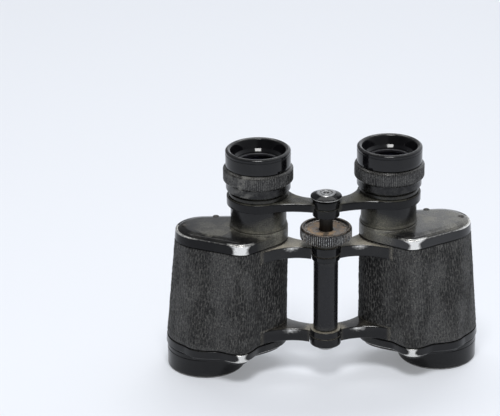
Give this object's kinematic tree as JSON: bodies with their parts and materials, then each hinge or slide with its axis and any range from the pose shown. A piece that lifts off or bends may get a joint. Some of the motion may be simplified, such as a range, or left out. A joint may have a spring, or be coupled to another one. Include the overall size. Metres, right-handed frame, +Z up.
{
  "type": "binoculars",
  "caption": "Folding porro prism binoculars with a central focus wheel, bridge, diopter eyepiece, leatherette covered prism housings and straight eyecups.",
  "frame": {"origin": "middle of the footprint on the surface that it stands on", "axes": "+Z up along the optical axes, from objectives to eyecups; +X across, towards the right half as seen from the front; -Y is the front, with the focus wheel"},
  "size_m": [0.1514, 0.0496, 0.113],
  "materials": {
    "enamel": "glossy black enamel, worn to bare metal on edges, dusty",
    "leatherette": "black pebbled leatherette",
    "bakelite": "polished black bakelite",
    "knurled_metal": "black knurled metal, dusty and rubbed",
    "aluminium": "plain machined",
    "steel": "turned steel",
    "glass": "coated optical glass"
  },
  "bodies": {
    "right_half": {"right_housing": "enamel", "right_covering": "leatherette", "right_top_cover": "enamel", "right_bottom_cover": "enamel", "right_cover_screw_outer": "steel", "right_cover_screw_rear": "steel", "right_strap_lug": "steel", "right_objective_barrel": "enamel", "right_objective_ring": "enamel", "right_objective_lens": "glass", "right_prism_shelf": "aluminium", "right_upper_prism": "glass", "right_lower_prism": "glass", "right_upper_prism_clip": "steel", "right_lower_prism_clip": "steel", "right_guide_tube": "enamel", "hinge_axle": "steel", "hinge_tube": "enamel", "hinge_collar": "enamel", "hinge_end_screw": "steel"},
    "left_half": {"left_housing": "enamel", "left_covering": "leatherette", "left_top_cover": "enamel", "left_bottom_cover": "enamel", "left_cover_screw_outer": "steel", "left_cover_screw_rear": "steel", "left_strap_lug": "steel", "left_objective_barrel": "enamel", "left_objective_ring": "enamel", "left_objective_lens": "glass", "left_prism_shelf": "aluminium", "left_upper_prism": "glass", "left_lower_prism": "glass", "left_upper_prism_clip": "steel", "left_lower_prism_clip": "steel", "left_guide_tube": "enamel"},
    "focus_wheel": {"focus_wheel": "knurled_metal"},
    "focus_slide": {"focus_spindle": "steel", "column_cap": "steel", "right_bridge_arm": "enamel", "right_ocular_tube": "enamel", "right_field_lens": "glass"},
    "left_bridge": {"left_bridge_arm": "enamel", "left_ocular_tube": "enamel", "left_field_lens": "glass", "left_lens_cell": "aluminium", "left_eye_lens": "glass", "left_eyepiece_ring": "knurled_metal", "left_eyecup": "bakelite"},
    "right_lens": {"right_lens_cell": "aluminium", "right_eye_lens": "glass"},
    "right_diopter": {"right_eyepiece_ring": "knurled_metal", "right_eyecup": "bakelite"}
  },
  "joints": [
    {"name": "fold", "type": "hinge", "parent": "right_half", "child": "left_half", "pos_m": [0, -0.01265, 0.045], "axis": [0, 0, 1], "range_deg": [-21, 30]},
    {"name": "bridge_fold", "type": "hinge", "parent": "focus_slide", "child": "left_bridge", "pos_m": [0, -0.01265, 0.0877], "axis": [0, 0, 1], "range_deg": [-21.1, 30.1]},
    {"name": "wheel_turn", "type": "hinge", "parent": "right_half", "child": "focus_wheel", "pos_m": [0, -0.01265, 0.0745], "axis": [0, 0, 1], "range_deg": [-90.1, 300.1]},
    {"name": "focus_travel", "type": "slide", "parent": "right_half", "child": "focus_slide", "axis": [0, 0, 1], "range_m": [-0.0015, 0.005]},
    {"name": "diopter_travel", "type": "slide", "parent": "focus_slide", "child": "right_lens", "axis": [0, 0, 1], "range_m": [-0.0012, 0.0012]},
    {"name": "diopter_turn", "type": "hinge", "parent": "right_lens", "child": "right_diopter", "pos_m": [0.03083, -0.00039, 0.1], "axis": [0, 0, 1], "range_deg": [-120.1, 120.1]}
  ],
  "couplings": [
    {"joint": "bridge_fold", "follows": "fold", "ratio": 1},
    {"joint": "wheel_turn", "follows": "focus_travel", "rad_per_m": 1047.2},
    {"joint": "diopter_turn", "follows": "diopter_travel", "rad_per_m": 1745.3}
  ]
}
